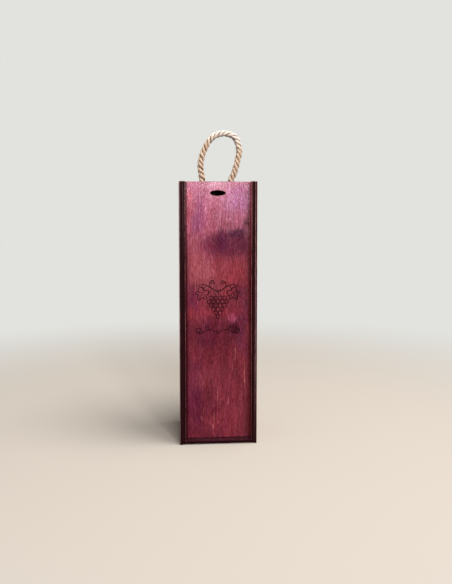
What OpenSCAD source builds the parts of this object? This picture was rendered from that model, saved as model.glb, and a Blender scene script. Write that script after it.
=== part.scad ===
// Gift box for one wine bottle: laser-cut plywood with a lid that slides up, and a rope handle.
// The origin is on the floor under the middle of the box, +Z is up, and the lid faces -Y.

/* [Box] */
// Outside width across the two side panels
box_w = 100; // [92:1:120]
// Outside depth from the front edges to the back panel
box_d = 100; // [92:1:130]
// Height of the side panels
box_h = 342; // [300:1:400]
// How far the side and back panels reach below the bottom panel
foot_h = 1; // [0.4:0.1:3]

/* [Plywood] */
// Thickness of the side, back, bottom and top panels
panel_t = 3.7; // [3:0.1:5]
// Thickness of the strips that are glued inside the side panels
strip_t = 3.7; // [3:0.1:5]
// Thickness of the sliding lid
lid_t = 3.7; // [3:0.1:4.5]

/* [Lid groove] */
// Width of the strips in front of the lid, so how deep the lid lies behind the front edges
front_strip_w = 12; // [8:0.5:16]
// Width of the strips behind the lid
guide_strip_w = 12; // [6:0.5:16]
// Clearance in front of the lid, and the same again behind it
slide_gap = 0.3; // [0.1:0.05:0.6]
// Clearance between the lid and each side panel
lid_side_gap = 0.5; // [0.2:0.1:1]
// How far the lid's top edge lies below the tops of the sides
lid_drop = 0.5; // [0:0.1:3]

/* [Finger hole] */
// Width of the oval hole
hole_w = 20; // [14:0.5:30]
// Height of the oval hole
hole_h = 7; // [5:0.5:14]
// Distance from the lid's top edge to the middle of the hole
hole_drop = 14.5; // [12:0.5:30]

/* [Finger joints] */
// Tabs of the back panel in each side panel
back_tabs = 8; // [4:1:12]
// Tabs of the bottom and top panels in each side panel
side_tabs = 2; // [1:1:3]
// Tabs of the bottom and top panels in the back panel
rear_tabs = 2; // [1:1:3]

/* [Rope] */
// Diameter of the rope
rope_d = 8; // [6:0.5:9]
// Distance between the two rope holes in the top panel
rope_spacing = 38; // [34:1:46]
// Clearance round the rope in its hole
rope_gap = 1; // [1:0.1:2]
// Diameter of the knot under each hole
knot_d = 20; // [16:1:24]
// Height of the knot
knot_h = 18; // [14:1:22]
// Rope left hanging below the knot
tail_l = 8; // [4:1:14]

/* [Hidden] */
$fn = 48;

stain = [0.47, 0.17, 0.23];
stain_light = [0.62, 0.28, 0.35];
charred = [0.19, 0.10, 0.11];
twine = [0.85, 0.68, 0.50];

// Faces of the shell, measured from the origin
side_in = box_w / 2 - panel_t;
front_y = -box_d / 2;
back_y = box_d / 2;
back_in = back_y - panel_t;
floor_z = foot_h + panel_t;
ceiling_z = box_h - panel_t;

// The lid's groove, from front to back
lid_front = front_y + front_strip_w + slide_gap;
lid_back = lid_front + lid_t;
guide_front = lid_back + slide_gap;

// The bottom and top panels' tabs in the side panels fill the odd ones of these steps
side_step = (back_y - guide_front) / (2 * side_tabs + 1);
// Their tabs in the back panel, and the back panel's own tabs in the side panels
rear_step = 2 * side_in / (2 * rear_tabs + 1);
back_step = box_h / (2 * back_tabs + 1);

// A cut runs this far past the face that it opens
past = 1;

// The rope: it leans to the right in its holes, and folds over at the top panel
rope_r = rope_d / 2;
rope_lean = 0.8;
rope_y = (guide_front + back_y) / 2;
// The loop turns about this line, clear of the panel and of the ends below it
bend_gap = 0.5;
bend_z = box_h + rope_r + bend_gap;
end_gap = 0.3;
knot_round = 3.5;
rope_sides = 12;
// Points of the loop between its feet: sideways from the middle, and up from the bend line
route = [[-19.5, 8], [-20.5, 18.5], [-19, 29], [-15.5, 39], [-10.5, 49], [-3, 57], [9, 61.5],
  [21, 59.5], [28, 53.5], [31, 45], [32, 36.5], [30, 28.5], [27, 18.5], [24, 8]];
feet = [-rope_spacing / 2 + rope_lean, rope_spacing / 2 + rope_lean];
loop = concat([[feet[0], 0]], route, [[feet[1], 0]]);
ring_steps = 2;

// A box between two corners
module block(low, high) {
  translate(low) cube(high - low);
}

// The odd ones of 2 * count + 1 equal steps, as [start, end]
function tabs(start, step, count) =
  [for (i = [1:count]) [start + (2 * i - 1) * step, start + 2 * i * step]];

function side_tab_list() = tabs(guide_front, side_step, side_tabs);
function rear_tab_list() = tabs(-side_in, rear_step, rear_tabs);
function back_tab_list() = tabs(0, back_step, back_tabs);

// A side panel at +X: its rear edge and its two ends are notched for the other panels' tabs
module side_panel() {
  difference() {
    block([side_in, front_y, 0], [box_w / 2, back_y, box_h]);
    for (t = back_tab_list())
      block([side_in - past, back_in, t[0]], [box_w / 2 + past, back_y + past, t[1]]);
    for (t = side_tab_list()) {
      block([side_in - past, t[0], -past], [box_w / 2 + past, t[1], floor_z]);
      block([side_in - past, t[0], ceiling_z], [box_w / 2 + past, t[1], box_h + past]);
    }
  }
}

module left_side_panel() {
  color(stain) mirror([1, 0, 0]) side_panel();
}

module right_side_panel() {
  color(stain) side_panel();
}

// The back panel, with tabs through both sides and notches for the bottom and the top
module back_panel() {
  color(stain) {
    difference() {
      block([-side_in, back_in, 0], [side_in, back_y, box_h]);
      for (t = rear_tab_list()) {
        block([t[0], back_in - past, -past], [t[1], back_y + past, floor_z]);
        block([t[0], back_in - past, ceiling_z], [t[1], back_y + past, box_h + past]);
      }
    }
    for (t = back_tab_list(), side = [-1, 1])
      back_panel_tab(t, side);
  }
}

module back_panel_tab(t, side) {
  low_x = side < 0 ? -box_w / 2 : side_in;
  block([low_x, back_in, t[0]], [low_x + panel_t, back_y, t[1]]);
}

// A level panel between the sides, with tabs through the sides and the back
module level_panel(front, low_z) {
  high_z = low_z + panel_t;
  block([-side_in, front, low_z], [side_in, back_in, high_z]);
  for (t = side_tab_list())
    block([-box_w / 2, t[0], low_z], [box_w / 2, t[1], high_z]);
  for (t = rear_tab_list())
    block([t[0], front, low_z], [t[1], back_y, high_z]);
}

module bottom_panel() {
  color(stain) level_panel(front_y, foot_h);
}

// The top panel stops behind the lid's groove, and has the two rope holes
module top_panel() {
  color(stain) difference() {
    level_panel(guide_front, ceiling_z);
    for (side = [-1, 1])
      translate([side * rope_spacing / 2, rope_y, ceiling_z - past])
        cylinder(r = rope_r + rope_gap, h = panel_t + 2 * past);
  }
}

// The strip at +X that holds the lid in from the front
module front_strip() {
  block([side_in - strip_t, front_y, floor_z], [side_in, front_y + front_strip_w, box_h]);
}

module left_front_strip() {
  color(charred) mirror([1, 0, 0]) front_strip();
}

module right_front_strip() {
  color(charred) front_strip();
}

// The strip at +X that the lid slides against from behind
module guide_strip() {
  block([side_in - strip_t, guide_front, floor_z],
    [side_in, guide_front + guide_strip_w, ceiling_z]);
}

module left_guide_strip() {
  color(charred) mirror([1, 0, 0]) guide_strip();
}

module right_guide_strip() {
  color(charred) guide_strip();
}

// The lid stands on the bottom panel in its groove, and its oval hole is for a fingertip
module sliding_lid() {
  half_w = side_in - lid_side_gap;
  top_z = box_h - lid_drop;
  color(stain_light) difference() {
    block([-half_w, lid_front, floor_z], [half_w, lid_back, top_z]);
    translate([0, lid_back + past, top_z - hole_drop])
      rotate([90, 0, 0])
        linear_extrude(lid_t + 2 * past)
          polygon([for (i = [0:$fn - 1])
            [hole_w / 2 * cos(360 * i / $fn), hole_h / 2 * sin(360 * i / $fn)]]);
  }
}

// A smooth curve through the four points a, b, c and d, from b at 0 to c at 1
function smooth(a, b, c, d, u) =
  b + u * (c - a) / 2 + u * u * (a - 5 * b / 2 + 2 * c - d / 2)
  + u * u * u * (3 * b / 2 - a / 2 - 3 * c / 2 + d / 2);

// The loop's middle line, with ring_steps rings to each stretch between two points
loop_last = len(loop) - 1;
line = concat(
  [for (i = [0:loop_last - 1], s = [0:ring_steps - 1])
    smooth(loop[max(i - 1, 0)], loop[i], loop[i + 1], loop[min(i + 2, loop_last)], s / ring_steps)],
  [loop[loop_last]]);
line_last = len(line) - 1;

// The line's direction at ring i; the two feet stand straight up
function along(i) =
  i == 0 ? [0, 1] : i == line_last ? [0, -1]
  : (line[i + 1] - line[i - 1]) / norm(line[i + 1] - line[i - 1]);

// A ring of the rope round a point of the line, moved along it and drawn in by an angle at a foot
function ring(i, turn) =
  [for (s = [0:rope_sides - 1])
    let (a = 360 * s / rope_sides, t = along(i), r = rope_r * cos(turn),
      p = line[i] + t * rope_r * sin(turn) - [t[1], -t[0]] * r * cos(a))
    [p[0], rope_y + r * sin(a), bend_z + p[1]]];

// The loop of rope above the top panel, with a rounded foot at each end of the line
module rope_handle() {
  foot_turns = [-80, -55, -28];
  rings = concat(
    [for (turn = foot_turns) ring(0, turn)],
    [for (i = [0:line_last]) ring(i, 0)],
    [for (k = [len(foot_turns) - 1:-1:0]) ring(line_last, -foot_turns[k])]);
  color(twine) tube(rings);
}

// A closed skin over rings of points
module tube(rings) {
  n = len(rings[0]);
  last = len(rings) - 1;
  polyhedron(
    points = [for (r = rings, p = r) p],
    faces = concat(
      [[for (s = [0:n - 1]) s]],
      [for (k = [0:last - 1], s = [0:n - 1], half = [0, 1])
        let (a = k * n + s, b = k * n + (s + 1) % n)
        half == 0 ? [a, a + n, b] : [b, a + n, b + n]],
      [[for (s = [n - 1:-1:0]) last * n + s]]));
}

// The rope below the loop: through its hole, then a knot against the panel, then a short tail
module rope_end(side) {
  top_z = box_h + bend_gap - end_gap;
  knot_low = ceiling_z - knot_h;
  color(twine) translate([side * rope_spacing / 2 + rope_lean, rope_y, 0]) {
    translate([0, 0, knot_low - tail_l])
      cylinder(r = rope_r, h = top_z - knot_low + tail_l);
    translate([0, 0, knot_low])
      rotate_extrude() {
        square([knot_d / 2 - knot_round, knot_h]);
        translate([0, knot_round])
          square([knot_d / 2, knot_h - 2 * knot_round]);
        for (y = [knot_round, knot_h - knot_round])
          translate([knot_d / 2 - knot_round, y])
            circle(r = knot_round);
      }
  }
}

module left_rope_end() {
  rope_end(-1);
}

module right_rope_end() {
  rope_end(1);
}

left_side_panel();
right_side_panel();
back_panel();
bottom_panel();
top_panel();
left_front_strip();
right_front_strip();
left_guide_strip();
right_guide_strip();
sliding_lid();
rope_handle();
left_rope_end();
right_rope_end();
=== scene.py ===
"""A tall plywood gift box for one bottle, with a lid that slides up and a loop of rope, dressed round its CAD
frame.

Lengths are in metres, and millimetres go through mm(). +Z is up, the lid faces -Y, and the origin is on the
floor under the middle of the box.
"""

import math

import bpy
import numpy as np
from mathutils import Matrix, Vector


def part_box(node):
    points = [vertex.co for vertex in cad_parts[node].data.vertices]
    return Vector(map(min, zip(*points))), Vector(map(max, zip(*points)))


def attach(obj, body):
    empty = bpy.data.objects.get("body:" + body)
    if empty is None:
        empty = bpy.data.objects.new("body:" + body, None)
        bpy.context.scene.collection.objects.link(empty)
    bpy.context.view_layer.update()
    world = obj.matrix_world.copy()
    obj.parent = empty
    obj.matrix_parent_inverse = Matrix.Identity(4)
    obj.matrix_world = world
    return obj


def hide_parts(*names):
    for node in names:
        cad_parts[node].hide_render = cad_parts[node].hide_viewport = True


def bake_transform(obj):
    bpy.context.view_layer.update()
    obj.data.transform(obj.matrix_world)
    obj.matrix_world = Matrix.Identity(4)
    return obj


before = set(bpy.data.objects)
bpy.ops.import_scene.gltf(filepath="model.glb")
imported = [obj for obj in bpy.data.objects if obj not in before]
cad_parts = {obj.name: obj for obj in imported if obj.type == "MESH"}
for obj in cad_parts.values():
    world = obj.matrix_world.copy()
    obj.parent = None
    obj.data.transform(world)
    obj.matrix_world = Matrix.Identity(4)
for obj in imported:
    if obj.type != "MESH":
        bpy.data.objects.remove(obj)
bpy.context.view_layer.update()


# Camera
# The photograph's viewpoint, fitted to the four corners of the box's front face: a little to the left of the
# box and just below the height of the finger hole, turned slightly down and to the right.
viewpoint = (-0.0563, -0.9029, 0.3109)
degrees_down, degrees_right = 4.32, 4.42
bpy.ops.object.camera_add(
    location=viewpoint,
    rotation=(math.radians(90 - degrees_down), 0, math.radians(-degrees_right)),
)
camera = bpy.context.object
camera.data.lens = 41.3
camera.data.shift_y = -0.0613
bpy.context.scene.camera = camera
bpy.context.scene.view_settings.view_transform = "Standard"


# Floor and light
# A pale, warm table top that fades into a plain pale backdrop, even light from all round, and three soft
# lamps: one at the front right, a small one in front whose glare lies on the upper lid, and one overhead from
# the right.
def paint(red, green, blue):
    """A colour as a picture shows it, from 0 to 255, as the shader wants it."""
    shown = [value / 255 for value in (red, green, blue)]
    return [
        v / 12.92 if v <= 0.04045 else ((v + 0.055) / 1.055) ** 2.4 for v in shown
    ] + [1.0]


def add(tree, kind, inputs=None, **settings):
    """A new shader node. An input that is given as a socket is linked, and any other value is set."""
    made = tree.nodes.new("ShaderNode" + kind)
    for key, value in settings.items():
        setattr(made, key, value)
    for key, value in (inputs or {}).items():
        if isinstance(value, bpy.types.NodeSocket):
            tree.links.new(value, made.inputs[key])
        else:
            made.inputs[key].default_value = value
    return made


def math_of(tree, operation, *values):
    """One step of arithmetic on numbers or sockets."""
    return add(tree, "Math", dict(enumerate(values)), operation=operation).outputs[0]


def seen_directly(tree):
    """1 for what the camera sees straight or in gloss or glass, 0 for the light that falls on things."""
    path = add(tree, "LightPath").outputs
    camera_or_gloss = math_of(tree, "MAXIMUM", path["Is Camera Ray"], path["Is Glossy Ray"])
    return math_of(tree, "MAXIMUM", camera_or_gloss, path["Is Transmission Ray"])


backdrop = paint(226, 226, 222)
table_tone = paint(186, 177, 166)
fill_light = 0.4
table_radius, fades_from, faded_at = 4, 0.3, 0.95

world = bpy.data.worlds.new("studio")
bpy.context.scene.world = world
world.use_nodes = True
tree = world.node_tree
tree.nodes.clear()
fill = add(tree, "Background", {"Color": (1, 1, 1, 1), "Strength": fill_light})
shown = add(tree, "Background", {"Color": backdrop, "Strength": 1.0})
either = add(tree, "MixShader", {0: seen_directly(tree), 1: fill.outputs[0], 2: shown.outputs[0]})
add(tree, "OutputWorld", {"Surface": either.outputs[0]})

bpy.ops.mesh.primitive_circle_add(vertices=96, radius=table_radius, fill_type="NGON")
table = bpy.context.object
table.name = "table_top"
material = bpy.data.materials.new("pale_table")
material.use_nodes = True
tree = material.node_tree
tree.nodes.clear()
place = add(tree, "TexCoord").outputs["Object"]
away = add(tree, "VectorMath", {0: place}, operation="LENGTH").outputs["Value"]
inputs = {"Value": away, "From Min": fades_from, "From Max": faded_at}
fade = add(tree, "MapRange", inputs, interpolation_type="SMOOTHSTEP").outputs[0]
near = add(tree, "BsdfDiffuse", {"Color": table_tone, "Roughness": 0.5})
far = add(tree, "Emission", {"Color": backdrop, "Strength": 1.0})
both = math_of(tree, "MULTIPLY", fade, seen_directly(tree))
surface = add(tree, "MixShader", {0: both, 1: near.outputs[0], 2: far.outputs[0]})
add(tree, "OutputMaterial", {"Surface": surface.outputs[0]})
table.data.materials.append(material)


def softbox(place, aim, width, height, watts):
    """A rectangular lamp that faces a point."""
    bpy.ops.object.light_add(type="AREA", location=place)
    lamp = bpy.context.object
    lamp.data.shape = "RECTANGLE"
    lamp.data.size = width
    lamp.data.size_y = height
    lamp.data.energy = watts
    direction = np.array(place) - np.array(aim)
    flat = math.hypot(direction[0], direction[1])
    lamp.rotation_euler = (math.atan2(flat, direction[2]), 0, math.atan2(direction[0], -direction[1]))


softbox(place=(0.40, -1.5, 0.62), aim=(0, -0.04, 0.2), width=0.22, height=0.5, watts=7.8)
softbox(place=(0.12, -1.75, 0.55), aim=(0, -0.04, 0.25), width=0.3, height=0.3, watts=9.0)
softbox(place=(0.45, -0.25, 1.55), aim=(0, 0, 0.1), width=0.8, height=0.8, watts=27.0)


# Rope
# The handle is one piece of soft three-strand rope, 8 mm thick and laid to the left, each strand of seven
# yarns. It goes through both holes of the top panel, and an overhand knot under each hole holds it.
def mm(*values):
    """Millimetres as metres."""
    return [v / 1000 for v in values] if len(values) > 1 else values[0] / 1000


rope_y = mm(8.15)
# Half the thickness over the strands' crests
crest_half = mm(4.4)
rope_lay, yarn_lay = mm(20.5, 30)
yarns = 7
# Where a strand's middle lies and half the strand's own thickness, as shares of crest_half
strand_off, strand_half = 0.535, 0.465
# How deep the grooves between the yarns are, as a share of half the strand's thickness
yarn_groove = 0.14
# How far from its cut end a strand begins to round off
end_round = mm(1.7)
rope_step = mm(0.8)
# The length of rope that one unit of the strands' pattern covers
pattern_length = mm(12)
left_foot, right_foot = mm(-18.2, 19.8)
# The loop's right side leans a little outwards as it leaves its hole
right_in_hole, right_at_fold = mm(20.1, 21)
knot_top, panel_under, in_hole, panel_over, fold_z = mm(336, 338.3, 341, 342, 346.5)
# Points of the loop between its feet: sideways from the middle, and up from the line where it folds
loop_points = [
    (-19.5, 8), (-20.5, 18.5), (-19, 29), (-15.5, 39), (-10.5, 49), (-3, 57), (9, 61.5),
    (21, 59.5), (28, 53.5), (31, 45), (32, 36.5), (30.4, 28.5), (28, 18.5), (25, 8),
]


def smooth_line(points, step):
    """Even points along the smooth curve through the given ones, and how far along it each lies."""
    way = np.array(points, float)
    way = np.vstack([2 * way[0] - way[1], way, 2 * way[-1] - way[-2]])
    u = np.linspace(0, 1, 24, endpoint=False)[:, None]
    dense = [
        b + u * (c - a) / 2
        + u**2 * (a - 2.5 * b + 2 * c - d / 2)
        + u**3 * (1.5 * b - a / 2 - 1.5 * c + d / 2)
        for a, b, c, d in zip(way, way[1:], way[2:], way[3:])
    ]
    dense = np.vstack([*dense, way[-2:-1]])
    run = np.r_[0, np.cumsum(np.linalg.norm(np.diff(dense, axis=0), axis=1))]
    at = np.linspace(0, run[-1], round(run[-1] / step) + 1)
    return np.stack([np.interp(at, run, dense[:, k]) for k in range(3)], axis=1), at


def unit(rows):
    """Each row made one unit long."""
    return rows / np.linalg.norm(rows, axis=1, keepdims=True)


def twisted_rope(name, line, run, half, round_end=False):
    """Three strands of seven yarns each, laid round a line of even points. run is how far along the line each
    point lies, and half is half the rope's thickness there."""
    points_round, count = 5 * yarns, len(line)
    along = unit(np.gradient(line, axis=0))
    side = np.zeros_like(line)
    side[0] = unit(np.cross(along[0], (0, 1, 0))[None])[0]
    for i in range(1, count):
        side[i] = side[i - 1] - along[i] * (side[i - 1] @ along[i])
        side[i] /= np.linalg.norm(side[i])
    other = np.cross(along, side)
    # How sharply the rope bends and which way, evened out over 15 steps
    bend = np.gradient(along, axis=0) / rope_step
    bend = np.stack([np.convolve(bend[:, k], np.ones(15) / 15, "same") for k in range(3)], axis=1)
    angle = np.linspace(0, 2 * math.pi, points_round, endpoint=False)
    places, faces, corners = [], [], []
    crests, outer, inner = [], [], []
    for strand in range(3):
        # Hand-laid strands wander a little to either side of an even turn
        uneven = 0.14 * np.sin(run / mm(6.3) + 2 * strand) + 0.1 * np.sin(run / mm(3.7) + 4 * strand)
        turn = (uneven + 2 * math.pi * (strand / 3 - run / rope_lay))[:, None]
        out = side * np.cos(turn) + other * np.sin(turn)
        middle = line + out * (half * strand_off)[:, None]
        ahead = unit(np.gradient(middle, axis=0))
        across = unit(np.cross(ahead, out))
        out = np.cross(across, ahead)
        yarn = np.abs(np.cos(yarns / 2 * (angle[None] - 2 * math.pi * run[:, None] / yarn_lay)))
        radius = (half * strand_half)[:, None] * (1 - yarn_groove + yarn_groove * yarn)
        if round_end:
            to_end = np.clip((run[-1] - run) / end_round, 0, 1)
            radius = radius * np.sqrt(np.clip(1 - (1 - to_end) ** 2, 0.02, 1))[:, None]
        rings = (
            middle[:, None]
            + out[:, None] * (np.cos(angle) * radius)[..., None]
            + across[:, None] * (np.sin(angle) * radius)[..., None]
        )
        places.append(rings.reshape(-1, 3))
        crests.append(yarn.reshape(-1))
        outer.append(np.tile(np.cos(angle), count))
        # 1 on the innermost side of a bend with a radius of 25 mm
        towards = np.einsum("ijk,ik->ij", rings - line[:, None], bend) / half[:, None]
        inner.append((towards * mm(25)).reshape(-1))
        base = strand * count * points_round
        for i in range(count - 1):
            near, far = base + i * points_round, base + (i + 1) * points_round
            u0, u1 = run[i] / pattern_length, run[i + 1] / pattern_length
            for k in range(points_round):
                n = (k + 1) % points_round
                faces.append((near + k, near + n, far + n, far + k))
                # The pattern's seam lies on the hidden side of the strand
                v0 = (k + points_round // 2) % points_round / points_round
                v1 = v0 + 1 / points_round
                corners += [(u0, v0), (u0, v1), (u1, v1), (u1, v0)]
        last = base + (count - 1) * points_round
        faces.append(tuple(base + k for k in reversed(range(points_round))))
        corners += [(0.0, 0.5)] * points_round
        faces.append(tuple(last + k for k in range(points_round)))
        corners += [(run[-1] / pattern_length, 0.5)] * points_round
    mesh = bpy.data.meshes.new(name)
    mesh.from_pydata(np.vstack(places).tolist(), [], faces)
    mesh.uv_layers.new(name="along_strand").data.foreach_set("uv", np.array(corners, np.float32).ravel())
    for attribute, values in (("yarn_crest", crests), ("strand_crest", outer), ("inside_bend", inner)):
        values = np.concatenate(values).astype(np.float32)
        mesh.attributes.new(attribute, "FLOAT", "POINT").data.foreach_set("value", values)
    mesh.polygons.foreach_set("use_smooth", [True] * len(mesh.polygons))
    rope = bpy.data.objects.new(name, mesh)
    bpy.context.scene.collection.objects.link(rope)
    return rope


def new_finish(name):
    """A new material, its node tree and its shader."""
    material = bpy.data.materials.new(name)
    material.use_nodes = True
    return material, material.node_tree, material.node_tree.nodes["Principled BSDF"]


def mixed(tree, share, first, second, how="MIX"):
    """The first colour with a share of the second."""
    return add(tree, "Mix", {0: share, 6: first, 7: second}, data_type="RGBA", blend_type=how).outputs[2]


def between(tree, value, low, high, to_low=0.0, to_high=1.0, soft=False):
    """A value that goes from to_low to to_high while another goes from low to high."""
    inputs = {"Value": value, "From Min": low, "From Max": high, "To Min": to_low, "To Max": to_high}
    how = "SMOOTHSTEP" if soft else "LINEAR"
    return add(tree, "MapRange", inputs, interpolation_type=how).outputs[0]


def ramp(tree, value, stops):
    """Colours that follow one another as a value rises. Each stop is a place on the ramp and its colour."""
    made = add(tree, "ValToRGB", {"Fac": value})
    elements = made.color_ramp.elements
    while len(elements) < len(stops):
        elements.new(0.5)
    for element, (position, colour) in zip(elements, stops):
        element.position = position
        element.color = paint(*colour)
    return made.outputs[0]


def noise_at(tree, place, scale, detail, rough=0.5):
    """Noise of the same scale in all directions."""
    return add(tree, "TexNoise", {"Vector": place, "Scale": scale, "Detail": detail, "Roughness": rough})


def raised(tree, shader, height, strength, distance):
    """Fine relief on the shader's surface."""
    bump = add(tree, "Bump", {"Height": height, "Strength": strength, "Distance": distance})
    tree.links.new(bump.outputs[0], shader.inputs["Normal"])


def rope_material():
    """Pale golden fibre with fine threads and paler tufts along the yarns, and a silky sheen. The grooves
    between the yarns and strands are darkened as painted shade, the inner side of each bend carries painted
    shade, and the top of the arch a painted highlight."""
    material, tree, shader = new_finish("golden_rope")
    strand = add(tree, "UVMap", uv_map="along_strand").outputs[0]
    threads = add(tree, "Mapping", {"Vector": strand, "Scale": (3.0, 46.0, 1.0)}).outputs[0]
    fine = noise_at(tree, threads, 1.0, 3.0, 0.6).outputs["Fac"]
    tufts = add(tree, "Mapping", {"Vector": strand, "Scale": (2.6, 10.0, 1.0)}).outputs[0]
    patchy = noise_at(tree, tufts, 1.0, 4.0, 0.65).outputs["Fac"]
    fibre = ramp(tree, fine, [(0.36, (160, 112, 74)), (0.62, (236, 206, 170))])
    tone = mixed(tree, between(tree, patchy, 0.46, 0.64), fibre, paint(250, 238, 220))
    # A painted highlight over the top of the arch, about halfway along, where the light from above falls
    arch_top, highlight_fades_out, highlight_full = [far / pattern_length for far in mm(91.2, 38.4, 9.6)]
    along = add(tree, "SeparateXYZ", {0: strand}).outputs[0]
    off = math_of(tree, "ABSOLUTE", math_of(tree, "SUBTRACT", along, arch_top))
    painted_arch_highlight = between(tree, off, highlight_fades_out, highlight_full, to_high=0.6, soft=True)
    tone = mixed(tree, painted_arch_highlight, tone, paint(250, 245, 238))
    # Painted shade in the grooves between the yarns, and darker still where the strands meet
    crest = add(tree, "Attribute", attribute_name="yarn_crest").outputs["Fac"]
    tone = mixed(tree, between(tree, crest, 0.05, 0.8), paint(108, 70, 46), tone)
    outward = add(tree, "Attribute", attribute_name="strand_crest").outputs["Fac"]
    tone = mixed(tree, between(tree, outward, -0.25, 0.6), paint(98, 64, 42), tone)
    # Painted shade on the inner side of a bend, such as the underside of the arch
    inner = add(tree, "Attribute", attribute_name="inside_bend").outputs["Fac"]
    tone = mixed(tree, between(tree, inner, 0.35, 0.9, to_high=0.8), tone, paint(66, 46, 42))
    tree.links.new(tone, shader.inputs["Base Color"])
    shader.inputs["Roughness"].default_value = 0.5
    shader.inputs["Sheen Weight"].default_value = 0.45
    shader.inputs["Sheen Roughness"].default_value = 0.4
    raised(tree, shader, fine, 0.7, mm(0.4))
    return material


def dress(piece, node, body):
    """The piece stands for the node and moves with the body."""
    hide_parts(node)
    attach(piece, body)


golden_rope = rope_material()

# The loop, from knot to knot
loop_line = [(left_foot, rope_y, z) for z in (knot_top, in_hole, fold_z)]
loop_line += [(mm(x), rope_y, fold_z + mm(z)) for x, z in loop_points]
loop_line += [
    (right_at_fold, rope_y, fold_z),
    (right_in_hole, rope_y, in_hole),
    (right_foot, rope_y, knot_top),
]
line, run = smooth_line(loop_line, rope_step)
loop = twisted_rope("rope_loop", line, run, np.full(len(line), crest_half))
loop.data.materials.append(golden_rope)

# Half of the overhand knot's path, in thicknesses of the tight rope. The other half is this turned over
knot_half = [
    (0, 0, 2.2), (0.05, 0.03, 1.55), (0.15, 0.02, 0.97), (0.33, -0.09, 0.4), (0.5, -0.45, -0.01),
    (0.31, -0.86, -0.41), (-0.14, -1.01, -0.76), (-0.66, -0.84, -0.97), (-1.06, -0.4, -0.99),
    (-1.19, 0.14, -0.84), (-0.98, 0.62, -0.55), (-0.55, 0.87, -0.25),
]
knot_path = np.array(knot_half + [(0, 0.89, 0)] + [(-x, y, -z) for x, y, z in reversed(knot_half)])
tight = mm(6.3)
# The path's second point lies at the panel's underside
knot_middle = panel_under - knot_half[1][2] * tight
tail_end = mm(313.2)
# Half the tight rope's thickness over the strands' crests, and how soon the rope has thinned to it
tight_half = tight * 0.54
thins_over = mm(9)


def rope_end(name, node, foot, about):
    """The overhand knot that sits against the panel's underside, turned round its hole by an angle in
    radians, and the short tail below it. The rope is thinner where the knot pulls it tight."""
    x, y = knot_path[:, 0] * tight, knot_path[:, 1] * tight
    cosine, sine = math.cos(about), math.sin(about)
    sideways = foot + cosine * x - sine * y
    backwards = rope_y + sine * x + cosine * y
    upwards = knot_middle + knot_path[:, 2] * tight
    points = np.stack([sideways, backwards, upwards], axis=1)
    points[0] = (foot, rope_y, knot_top)
    points[-1] = (foot, rope_y, tail_end)
    line, run = smooth_line(points, rope_step)
    from_ends = np.minimum(run, run[-1] - run)
    half = tight_half + (crest_half - tight_half) * np.clip(1 - from_ends / thins_over, 0, 1)
    piece = twisted_rope(name, line, run, half, round_end=True)
    piece.data.materials.append(golden_rope)
    dress(piece, node, "box")
    return piece


left_end = rope_end("left_knot", "left_rope_end", left_foot, about=0.6)
right_end = rope_end("right_knot", "right_rope_end", right_foot, about=3.5)
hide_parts("rope_handle")
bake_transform(loop)


# Plywood sheets
# The sides, back, bottom and top are laser-cut from birch plywood, 3.7 mm thick, and glued at their finger
# joints. The faces have a dark cherry stain under satin varnish. The cut edges are charred, with a painted
# highlight along a glue line between the layers, and the eased corners between face and edge take a light,
# patchy tone that paints the highlight they catch.
def times(tree, first, second):
    """Two values multiplied."""
    return math_of(tree, "MULTIPLY", first, second)


def higher(tree, place, low, high, share=1.0):
    """0 below one height and the given share above another, with a soft change between them."""
    height = add(tree, "SeparateXYZ", {0: place}).outputs[2]
    return between(tree, height, low, high, to_high=share, soft=True)


def charred_edge_with_glint(name, glued_at, strength, low, high):
    """Plywood burnt brown-black by the cut, with its three layers still showing, and a painted highlight
    along the glued seam between two of them: glued_at is its place across the sheet, from 0 to 1, strength
    how strong it is, and it fades in upwards from low to high."""
    material, tree, shader = new_finish(name)
    place = add(tree, "TexCoord").outputs["Object"]
    depth = add(tree, "Attribute", attribute_name="ply_depth").outputs["Fac"]
    uneven = noise_at(tree, place, 90.0, 3.0).outputs["Fac"]
    layer = math_of(tree, "ADD", depth, between(tree, uneven, 0.0, 1.0, -0.06, 0.06))
    layers = ramp(tree, layer, [
        (0.0, (50, 19, 23)), (0.28, (42, 14, 18)), (0.34, (26, 8, 10)),
        (0.64, (30, 9, 12)), (0.7, (44, 15, 18)), (1.0, (48, 18, 21)),
    ])
    soot = noise_at(tree, place, 420.0, 4.0, 0.6).outputs["Fac"]
    burnt = mixed(tree, between(tree, soot, 0.35, 0.7), layers, paint(26, 7, 10))
    # A painted highlight on the glued seam between the layers, fading in upwards
    off = math_of(tree, "ABSOLUTE", math_of(tree, "SUBTRACT", layer, glued_at))
    painted_glint = times(tree, between(tree, off, 0.03, 0.13, strength, 0.0), uneven)
    painted_glint = times(tree, painted_glint, higher(tree, place, low, high))
    tree.links.new(mixed(tree, painted_glint, burnt, paint(136, 100, 100)), shader.inputs["Base Color"])
    shader.inputs["Roughness"].default_value = 0.7
    shader.inputs["Specular IOR Level"].default_value = 0.02
    raised(tree, shader, soot, 0.4, mm(0.1))
    return material


def painted_arris_highlight():
    """The eased corner between face and cut edge, in a light, patchy tone that paints the highlight it
    catches, brightest near the top."""
    material, tree, shader = new_finish("painted_arris_highlight")
    place = add(tree, "TexCoord").outputs["Object"]
    # A patchy painted highlight, brightest near the top
    highlit_arris = between(tree, noise_at(tree, place, 70.0, 4.0, 0.6).outputs["Fac"], 0.36, 0.66)
    brighter_near_top = math_of(tree, "ADD", 0.4, higher(tree, place, mm(0), mm(260), 0.6))
    tone = mixed(tree, times(tree, highlit_arris, brighter_near_top), paint(72, 30, 34), paint(190, 128, 122))
    tree.links.new(tone, shader.inputs["Base Color"])
    shader.inputs["Roughness"].default_value = 0.5
    shader.inputs["Specular IOR Level"].default_value = 0.3
    return material


# How far the grain sways sideways, and how far up and down a fibre takes the stain differently
grain_sway, fibre_lift = mm(14, 3.5)


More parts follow.
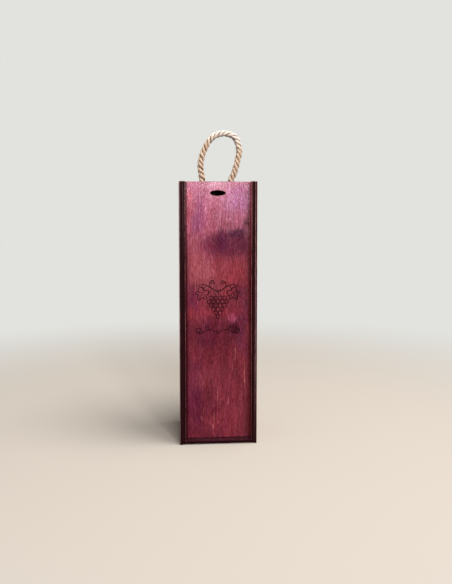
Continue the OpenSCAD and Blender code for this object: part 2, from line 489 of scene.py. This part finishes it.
def stained_veneer(name, grain, start, tones, purple, patches=None):
    """Birch veneer under a dark cherry stain. grain turns the pattern so that it runs along the sheet, start
    is the spot of the log that it is cut from, tones are its dark, middle and light colours, purple is the
    colour of its cold patches, and patches may add this one sheet's own patches of stain, painted glare and
    painted shade."""
    material, tree, shader = new_finish(name)
    place = add(tree, "TexCoord").outputs["Object"]
    straight = add(tree, "Mapping", {"Vector": place, "Rotation": grain, "Location": start}).outputs[0]
    slow = add(tree, "TexNoise", {"Vector": straight, "Scale": 11.0, "Detail": 1.0}).outputs["Color"]
    sway = add(tree, "VectorMath", {0: slow, 1: (0.5, 0.5, 0.5)}, operation="SUBTRACT").outputs[0]
    sway = add(tree, "VectorMath", {0: sway, 1: (grain_sway, grain_sway, 0)}, operation="MULTIPLY").outputs[0]
    swaying = add(tree, "VectorMath", {0: straight, 1: sway}, operation="ADD").outputs[0]

    def noise(where, scale, detail=3.0, rough=0.55, wander=0.0):
        """Noise with its own scale across the grain (twice) and along it."""
        stretched = add(tree, "Mapping", {"Vector": where, "Scale": scale}).outputs[0]
        made = noise_at(tree, stretched, 1.0, detail, rough)
        made.inputs["Distortion"].default_value = wander
        return made.outputs["Fac"]

    # Each fibre takes the stain a little higher or lower than the next, which frays edges along the grain
    fibre = noise(swaying, (1900, 1900, 9), 2.0, 0.6)
    lift = add(tree, "CombineXYZ", {2: between(tree, fibre, 0.25, 0.75, -fibre_lift, fibre_lift)}).outputs[0]
    lifted = add(tree, "VectorMath", {0: swaying, 1: lift}, operation="ADD").outputs[0]
    frayed = add(tree, "VectorMath", {0: place, 1: lift}, operation="ADD").outputs[0]
    figure = noise(lifted, (38, 38, 12), 4.0, 0.6, 0.8)
    stain = ramp(tree, figure, list(zip((0.3, 0.5, 0.7), tones)))
    cold = between(tree, noise(lifted, (26, 26, 13), 3.0, 0.6, 0.6), 0.5, 0.66, 0.0, 0.6)
    stain = mixed(tree, cold, stain, paint(*purple))
    if patches:
        stain = patches(tree, frayed, stain)
    dash = noise(lifted, (640, 640, 300), 3.0, 0.65, 0.2)
    line = noise(lifted, (420, 420, 18), 3.0, 0.6, 0.4)
    streak = noise(lifted, (190, 190, 9), 3.0, 0.6, 0.6)
    shade = between(tree, fibre, 0.3, 0.7, 0.76, 1.24)
    shade = times(tree, shade, between(tree, dash, 0.3, 0.7, 0.62, 1.38))
    shade = times(tree, shade, between(tree, line, 0.3, 0.7, 0.84, 1.16))
    shade = times(tree, shade, between(tree, streak, 0.3, 0.7, 0.88, 1.12))
    # Where a fibre takes less stain, the pale wood shows through and turns the red pinker
    through = math_of(tree, "POWER", shade, 1.8)
    taken = add(tree, "CombineXYZ", {0: shade, 1: through, 2: through}).outputs[0]
    wood = mixed(tree, 1.0, stain, taken, "MULTIPLY")
    fleck = between(tree, noise(lifted, (800, 800, 330), 2.0, 0.5), 0.5, 0.68)
    paler = add(tree, "VectorMath", {0: wood, 1: (1.35, 1.9, 1.6)}, operation="MULTIPLY").outputs[0]
    wood = mixed(tree, fleck, wood, paler)
    pore = between(tree, noise(lifted, (2100, 2100, 190), 2.0, 0.5), 0.6, 0.68, 0.0, 0.5)
    wood = mixed(tree, pore, wood, paint(48, 8, 22))
    tree.links.new(wood, shader.inputs["Base Color"])
    # The varnish sinks into some fibres and stands on others, so its gloss is broken up, and it is dull where
    # the stain has soaked in darkest
    gloss = between(tree, noise(lifted, (760, 760, 380), 3.0, 0.65), 0.4, 0.6, 0.02, 0.3)
    redness = add(tree, "SeparateColor", {0: stain}).outputs[0]
    gloss = times(tree, gloss, between(tree, redness, 0.04, 0.12, 0.3, 1.0))
    tree.links.new(gloss, shader.inputs["Specular IOR Level"])
    tree.links.new(between(tree, streak, 0.3, 0.7, 0.17, 0.23), shader.inputs["Roughness"])
    raised(tree, shader, math_of(tree, "ADD", dash, fibre), 0.8, mm(0.1))
    return material


def select_only(piece):
    """The piece as the one selected and active object."""
    bpy.ops.object.select_all(action="DESELECT")
    piece.select_set(True)
    bpy.context.view_layer.objects.active = piece


side_inner_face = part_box("right_side_panel")[0].x
beside_joint = mm(0.6)
foot_of_box = mm(6)


def plywood_piece(name, node, layered, face, arris=mm(0.5), highlit_arris=True, edge=None):
    """The node's own shape with its corners eased. layered is the axis across the sheet: faces that look
    along it take the veneer called face, and cut edges are burnt. The eased corners between them take a
    painted highlight if the piece asks for it, but not along the glued joint between a side panel and its
    strips, nor at the foot of the box."""
    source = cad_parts[node]
    piece = bpy.data.objects.new(name, source.data.copy())
    bpy.context.scene.collection.objects.link(piece)
    select_only(piece)
    bpy.ops.mesh.customdata_custom_splitnormals_clear()
    bpy.ops.object.mode_set(mode="EDIT")
    bpy.ops.mesh.select_all(action="SELECT")
    bpy.ops.mesh.remove_doubles(threshold=mm(0.01))
    bpy.ops.mesh.dissolve_limited(angle_limit=math.radians(0.5))
    bpy.ops.mesh.faces_shade_flat()
    bpy.ops.object.mode_set(mode="OBJECT")
    eased = piece.modifiers.new("eased_corners", "BEVEL")
    eased.width = arris
    eased.segments = 2
    eased.limit_method = "ANGLE"
    eased.angle_limit = math.radians(40)
    bpy.ops.object.modifier_apply(modifier=eased.name)
    mesh = piece.data
    mesh.materials.clear()
    for material in (face, edge or charred_with_glint, arris_highlight):
        mesh.materials.append(material)
    for polygon in mesh.polygons:
        normal = [abs(n) for n in polygon.normal]
        glued = abs(abs(polygon.center.x) - side_inner_face) < beside_joint
        low = polygon.center.z < foot_of_box and abs(polygon.normal.z) > 0.1
        if normal[layered] > 0.99:
            polygon.material_index = 0
        elif max(normal) > 0.99 or glued or low or not highlit_arris:
            polygon.material_index = 1
        else:
            polygon.material_index = 2
    across = np.array([v.co[layered] for v in mesh.vertices])
    depth = (across - across.min()) / (across.max() - across.min())
    mesh.attributes.new("ply_depth", "FLOAT", "POINT").data.foreach_set("value", depth.astype(np.float32))
    return piece


# Burnt edges with a faint painted highlight near the top, and for the right side panel a stronger painted
# highlight that reaches from low down
charred_with_glint = charred_edge_with_glint("charred_edge_with_glint", glued_at=0.31, strength=0.75, low=mm(225), high=mm(320))
charred_right_with_glint = charred_edge_with_glint("charred_right_edge_with_glint", glued_at=0.38, strength=2.0, low=mm(-20), high=mm(130))
arris_highlight = painted_arris_highlight()
upright = (0, 0, 0)
crosswise = (0, math.radians(90), 0)
stain_tones = [(82, 22, 36), (106, 30, 46), (130, 42, 56)]
floor_tones = [(36, 8, 14), (48, 12, 20), (62, 18, 26)]
stain_purple = (84, 20, 54)
for name, node, layered, grain, start, tones in [
    ("left_side", "left_side_panel", 0, upright, (0.3, 0.1, 0), stain_tones),
    ("right_side", "right_side_panel", 0, upright, (0.7, 0.4, 0.2), stain_tones),
    ("back", "back_panel", 1, upright, (1.1, 0.2, 0.5), stain_tones),
    ("bottom", "bottom_panel", 2, crosswise, (1.6, 0.7, 0.1), floor_tones),
    ("top", "top_panel", 2, crosswise, (2.1, 0.3, 0.6), stain_tones),
]:
    veneer = stained_veneer(name + "_veneer", grain, start, tones, stain_purple)
    # The right side panel's burnt edge carries the stronger painted highlight
    edge = charred_right_with_glint if name == "right_side" else charred_with_glint
    piece = plywood_piece(name, node, layered, veneer, highlit_arris=name != "bottom", edge=edge)
    dress(piece, node, "box")


# Groove strips
# Two narrow strips of the same plywood are glued inside each side panel, one in front of the lid and one
# behind it. What is left open between them is the groove that the lid slides in.
strip_tones = [(80, 12, 20), (100, 18, 26), (122, 26, 34)]
strip_purple = (84, 14, 34)
strip_glare_pink = (222, 104, 118)
strip_glare_from, strip_glare_full = mm(205, 305)


def painted_glare_above(share):
    """A painted glare: the stain made lighter and pinker near the top, as on the lid, by the given share."""
    return lambda tree, place, stain: mixed(
        tree, higher(tree, place, strip_glare_from, strip_glare_full, share), stain, paint(*strip_glare_pink)
    )


# How much painted glare each strip takes. The right front strip's inner face looks away from the lamps, and
# it takes the most
for name, start, share in [
    ("left_front_strip", (2.6, 0.2, 0.4), 0.5),
    ("right_front_strip", (3.1, 0.6, 0.3), 0.9),
    ("left_guide_strip", (3.6, 0.1, 0.2), 0.4),
    ("right_guide_strip", (4.1, 0.5, 0.7), 0.4),
]:
    veneer = stained_veneer(name + "_veneer", upright, start, strip_tones, strip_purple, painted_glare_above(share))
    piece = plywood_piece(name.replace("strip", "lath"), name, 0, veneer, arris=mm(0.25))
    dress(piece, name, "box")


# Sliding lid
# The lid is one sheet with upright grain and an oval finger hole. Its stain has cold dark patches lower
# down, and over it lie painted glare, lighter and pinker near the top, and painted shade along the grooves.
# A vine, a bunch of grapes and a scroll are burnt into it by laser.
lid_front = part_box("sliding_lid")[0].y
lid_tones = [(86, 22, 36), (106, 29, 44), (130, 41, 54)]
lid_purple = (88, 24, 54)
lid_glare_pink = (206, 112, 148)
lid_glare_from, lid_glare_full = mm(215, 345)
pale_wood = (208, 122, 118)
# How far the edges of the patches wander from their even shapes, sideways and up
patch_wander = (mm(18), 0, mm(18))

# Places where the stain took differently, in millimetres: x, z, half width, half height, how soft the edge
# is, share and colour. The two palest pink spots near the top, at x 15 z 318 and x 0 z 339, are painted
# glare, and the long dark band at x 43 down the lid's right edge is the painted shadow of the right front
# strip.
stains_glare_and_shadow = [
    (-24, 235, 28, 31, 0.8, 0.42, (180, 86, 96)), (20, 228, 22, 16, 0.8, 0.4, (146, 44, 54)),
    (29, 318, 16, 16, 0.8, 0.45, (146, 84, 140)), (15, 318, 6, 14, 0.8, 0.2, (226, 150, 190)),
    (34, 338, 12, 7, 0.8, 0.3, (150, 80, 110)), (27, 296, 15, 13, 0.8, 0.35, (150, 72, 96)),
    (0, 339, 15, 6, 0.8, 0.2, (240, 190, 206)), (0, 240, 14, 10, 0.8, 0.6, (112, 30, 46)),
    (-26, 84, 10, 12, 0.8, 0.35, (150, 58, 70)), (2, 80, 12, 14, 0.8, 0.25, (146, 52, 66)),
    (3, 55, 10, 8, 0.8, 0.25, (146, 56, 70)), (-21, 312, 5, 14, 0.8, 0.5, (124, 44, 92)),
    (-26, 290, 8, 14, 0.8, 0.5, (112, 36, 84)), (-39, 306, 6, 26, 0.8, 0.3, (178, 60, 74)),
    (-37, 323, 4, 5, 0.8, 0.5, (214, 104, 120)), (-35, 312, 5, 4, 0.8, 0.4, (140, 40, 58)),
    (43, 280, 6, 75, 0.8, 0.6, (92, 18, 34)), (10, 261, 32, 17, 0.4, 0.78, (80, 4, 38)),
    (-15, 255, 13, 12, 0.8, 0.42, (100, 14, 44)), (5, 265, 9, 12, 0.6, 0.55, (66, 4, 42)),
    (25, 275, 10, 6, 0.5, 0.7, (54, 4, 40)), (34, 264, 10, 11, 0.6, 0.5, (68, 6, 32)),
    (32, 283, 4, 4, 0.6, 0.55, (72, 10, 32)), (36.5, 288, 4.5, 5, 0.6, 0.8, (66, 8, 24)),
    (40.5, 290, 3.5, 8, 0.6, 0.6, (70, 6, 14)), (-33, 190, 8, 16, 0.8, 0.5, (94, 22, 58)),
    (0, 172, 30, 5, 0.8, 0.3, (150, 40, 56)), (-38, 173, 6, 8, 0.7, 0.4, (150, 42, 46)),
    (-36, 150, 8, 16, 0.7, 0.4, (80, 16, 38)), (-2, 144, 34, 21, 0.5, 0.5, (72, 8, 30)),
    (34, 38, 12, 40, 0.7, 0.45, (104, 34, 48)), (18, 163, 4.5, 5, 0.8, 0.6, (168, 66, 98)),
    (20.5, 151, 5.5, 7.5, 0.6, 0.7, (54, 8, 24)), (35, 92, 5, 34, 0.8, 0.3, (142, 46, 56)),
    (-31, 62, 11, 44, 0.8, 0.4, (90, 20, 56)), (-33, 36, 14, 26, 0.7, 0.35, (74, 10, 36)),
    (0, 114, 16, 12, 0.8, 0.3, (96, 14, 26)), (-1, 49, 12, 8, 0.8, 0.4, (78, 14, 38)),
]
# Short lines where the grain took little stain, written in the same way
pale_lines = [
    (22.8, 118, 0.6, 9, 0.5, 0.3, pale_wood), (19.4, 100, 0.5, 8, 0.5, 0.2, pale_wood),
    (35, 90, 0.6, 15, 0.5, 0.3, pale_wood), (-0.4, 61, 0.5, 9, 0.5, 0.2, pale_wood),
    (-5.2, 31, 0.7, 6, 0.5, 0.45, pale_wood), (-6.4, 21, 0.8, 3, 0.5, 0.4, pale_wood),
    (-19, 40, 0.5, 5, 0.5, 0.25, pale_wood), (-21.5, 31, 0.6, 3, 0.5, 0.4, pale_wood),
    (13.6, 54, 0.5, 6, 0.5, 0.2, pale_wood),
]
# Painted shade along the grooves, where the front strips shade the lid's edges: which side, how far out it
# begins and is full, its share, how much of that is missing at the top, and colour
groove_shades = [
    (-1, mm(36.8), mm(41.5), 0.88, 0.6, (50, 6, 18)),
    (-1, mm(39.2), mm(40.8), 0.85, 0.0, (56, 8, 20)),
    (1, mm(36.8), mm(42.0), 0.8, 0.7, (96, 20, 26)),
]


def lid_patches(tree, place, stain):
    """The stain with painted glare near the top, the lid's own patches, pale lines, and painted shade along
    the grooves.
    """
    broken = add(tree, "Mapping", {"Vector": place, "Scale": (60, 60, 34)}).outputs[0]
    wander = noise_at(tree, broken, 1.0, 4.0, 0.6).outputs["Color"]
    shift = add(tree, "VectorMath", {0: wander, 1: (0.5, 0.5, 0.5)}, operation="SUBTRACT").outputs[0]
    shift = add(tree, "VectorMath", {0: shift, 1: patch_wander}, operation="MULTIPLY").outputs[0]
    loose = add(tree, "VectorMath", {0: place, 1: shift}, operation="ADD").outputs[0]
    # Painted glare, on top of the front lamp's real glare: lighter and pinker towards the top
    stain = mixed(tree, higher(tree, loose, lid_glare_from, lid_glare_full, 0.5), stain, paint(*lid_glare_pink))
    for spots, where in ((stains_glare_and_shadow, loose), (pale_lines, place)):
        for x, z, half_w, half_h, soft, share, colour in spots:
            off = add(tree, "VectorMath", {0: where, 1: (mm(x), 0, mm(z))}, operation="SUBTRACT").outputs[0]
            squeeze = (1 / mm(half_w), 0, 1 / mm(half_h))
            off = add(tree, "VectorMath", {0: off, 1: squeeze}, operation="MULTIPLY").outputs[0]
            far = add(tree, "VectorMath", {0: off}, operation="LENGTH").outputs["Value"]
            within = between(tree, far, 1 + soft, 1 - soft, 0.0, share, soft=True)
            stain = mixed(tree, within, stain, paint(*colour))
    across = add(tree, "SeparateXYZ", {0: place}).outputs[0]
    # Painted shade along the grooves, with less of it near the top
    for side, begins, full, share, missing, colour in groove_shades:
        groove_shade = between(tree, times(tree, across, side), begins, full, to_high=share, soft=True)
        less_near_top = math_of(tree, "SUBTRACT", 1.0, higher(tree, place, mm(190), mm(335), missing))
        stain = mixed(tree, times(tree, groove_shade, less_near_top), stain, paint(*colour))
    return stain


def charred_line():
    """The bottom of a laser line: wood burnt dark brown."""
    material, tree, shader = new_finish("burnt_line")
    place = add(tree, "TexCoord").outputs["Object"]
    soot = noise_at(tree, place, 900.0, 3.0).outputs["Fac"]
    tree.links.new(mixed(tree, soot, paint(12, 3, 6), paint(40, 10, 18)), shader.inputs["Base Color"])
    shader.inputs["Roughness"].default_value = 0.8
    shader.inputs["Specular IOR Level"].default_value = 0.1
    return material


# The middle of each cutting wire lies just in front of the lid's face
wire_y = lid_front - mm(0.1)


def stroke(points, thick, closed=False, taper=True):
    """A cutter for one burnt line: a round wire along a smooth curve through (x, z) points in millimetres,
    almost half sunk in the lid's face. It is thickest in its middle if it tapers."""
    bpy.ops.curve.primitive_nurbs_path_add()
    wire = bpy.context.object
    line = np.array(points, float)
    # A closed line is led on past its start at both ends, and one round of it is kept
    if closed:
        line = np.vstack([line[-2:], line, line[:2]])
    smooth, _ = smooth_line([(x, z, 0) for x, z in line], 0.8)
    if closed:
        half = len(smooth) // 2
        from_start = np.linalg.norm(smooth - (*line[2], 0), axis=1)
        smooth = smooth[np.argmin(from_start[:half]) : half + np.argmin(from_start[half:])]
    curve = wire.data
    curve.splines.clear()
    spline = curve.splines.new("POLY")
    spline.points.add(len(smooth) - 1)
    for i, (point, (x, z, _)) in enumerate(zip(spline.points, smooth)):
        point.co = (mm(x), wire_y, mm(z), 1)
        point.radius = 1.0
        if taper and not closed:
            point.radius = 0.45 + 0.55 * abs(math.sin(math.pi * i / (len(smooth) - 1))) ** 0.7
    spline.use_cyclic_u = closed
    wire.location = (0, 0, 0)
    curve.bevel_depth = mm(thick) / 2
    curve.bevel_resolution = 1
    curve.use_fill_caps = True
    bpy.ops.object.convert(target="MESH")
    return bpy.context.object


def placed(points, x, z, turn=0.0, size=1.0, flip=False):
    """Points of a drawing turned, enlarged and moved to their place on the lid."""
    cosine, sine = math.cos(math.radians(turn)) * size, math.sin(math.radians(turn)) * size
    sign = -1 if flip else 1
    return [(x + sign * (cosine * px - sine * pz), z + sine * px + cosine * pz) for px, pz in points]


def spiral(x, z, radius, inner, start, turns):
    """Points of a tendril that curls inwards, or of a circle where inner is the same as radius."""
    steps = max(6, round(abs(turns) * 10))
    return [
        (x + r * math.cos(a), z + r * math.sin(a))
        for r, a in (
            (radius + (inner - radius) * k / steps, math.radians(start + 360 * turns * k / steps))
            for k in range(steps + 1)
        )
    ]


# The drawing, in millimetres: each piece is the points that a line goes through
leaf_edge = [
    (0, 0), (-3, 3), (-7.5, 2.2), (-8.6, -2.4), (-6.4, -4.4), (-9.6, -8), (-6.8, -10.8), (-4.2, -9.4),
    (-3, -13), (0, -17), (3, -13), (4.2, -9.4), (6.8, -10.8), (9.6, -8), (6.4, -4.4), (8.6, -2.4),
    (7.5, 2.2), (3, 3),
]
leaf_veins = [
    [(0, -1.6), (0.2, -8), (0, -14.5)],
    [(-0.9, -2.2), (-4, -5.4), (-7.6, -8.6)],
    [(0.9, -2.2), (4, -5.4), (7.6, -8.6)],
]
branch = [
    (-28, 206), (-20, 208.5), (-12, 206), (-5, 201.5), (0, 199.5),
    (6, 202), (12, 206), (20, 208), (29, 204.5),
]
stem = [(0, 199.5), (0.7, 197), (0, 194.5)]
left_stalk = [(-15, 207.3), (-17.4, 204.5), (-18.5, 201)]
right_stalk = [(14.5, 207), (16.8, 204.5), (17.6, 200.5)]
left_tendril = [(-8, 203.3), (-10.5, 206.5), (-10.5, 210)] + spiral(-7.2, 211, 3.1, 0.8, 195, -1.5)[1:]
right_tendril = [(7.5, 203), (10, 206), (10.2, 209.5)] + spiral(6.9, 210.6, 3.1, 0.8, -15, 1.5)[1:]
scroll = [(2.6, 146), (8, 149), (14.5, 148.5), (20.5, 145)] + spiral(24.5, 148.2, 4.2, 1.0, -100, 1.4)[1:]
leaflet = [(10.5, 149.2), (13, 152.5), (17, 153), (14.8, 150), (12.5, 149)]
diamond = [(0, 148.2), (1.6, 146), (0, 143.8), (-1.6, 146), (0, 148.2)]
# Where each leaf hangs from its stalk, how far it is turned in degrees, and its size
leaves = [(-18.5, 200.5, -30, 0.84), (17.8, 200, 34, 0.8)]
grape_radius, grape_gap, row_gap, lowest_grape = 2.3, 5.8, 5, 166
grapes_in_rows = (1, 2, 3, 4, 5, 4)

cutters = [stroke(branch, 1.6)]
cutters += [stroke(line, 1.2) for line in (stem, left_stalk, right_stalk, left_tendril, right_tendril)]
for flip in (False, True):
    cutters.append(stroke(placed(scroll, 0, 0, flip=flip), 1.4))
    cutters.append(stroke(placed(leaflet, 0, 0, flip=flip), 1.1))
cutters.append(stroke(diamond, 1.0, taper=False))
for x, z, turn, size in leaves:
    cutters.append(stroke(placed(leaf_edge, x, z, turn, size), 1.3, closed=True))
    cutters += [stroke(placed(vein, x, z, turn, size), 1.0) for vein in leaf_veins]
for row, count in reversed(list(enumerate(grapes_in_rows))):
    for k in range(count):
        x = (k - (count - 1) / 2) * grape_gap
        grape = spiral(x, lowest_grape + row * row_gap, grape_radius, grape_radius, 90, 1)[:-1]
        cutters.append(stroke(grape, 1.2, closed=True))

lid_veneer = stained_veneer("lid_veneer", upright, (5.2, 0.3, 0.35), lid_tones, lid_purple, lid_patches)
lid = plywood_piece("lid", "sliding_lid", 1, lid_veneer)
burnt = charred_line()
select_only(cutters[0])
for cutter in cutters:
    cutter.select_set(True)
bpy.ops.object.join()
cutter = bpy.context.object
cutter.data.materials.clear()
cutter.data.materials.append(burnt)
select_only(lid)
engraved = lid.modifiers.new("engraved", "BOOLEAN")
engraved.object = cutter
engraved.operation = "DIFFERENCE"
engraved.solver = "EXACT"
engraved.use_self = True
engraved.material_mode = "TRANSFER"
bpy.ops.object.modifier_apply(modifier=engraved.name)
bpy.data.objects.remove(cutter)
dress(lid, "sliding_lid", "lid")
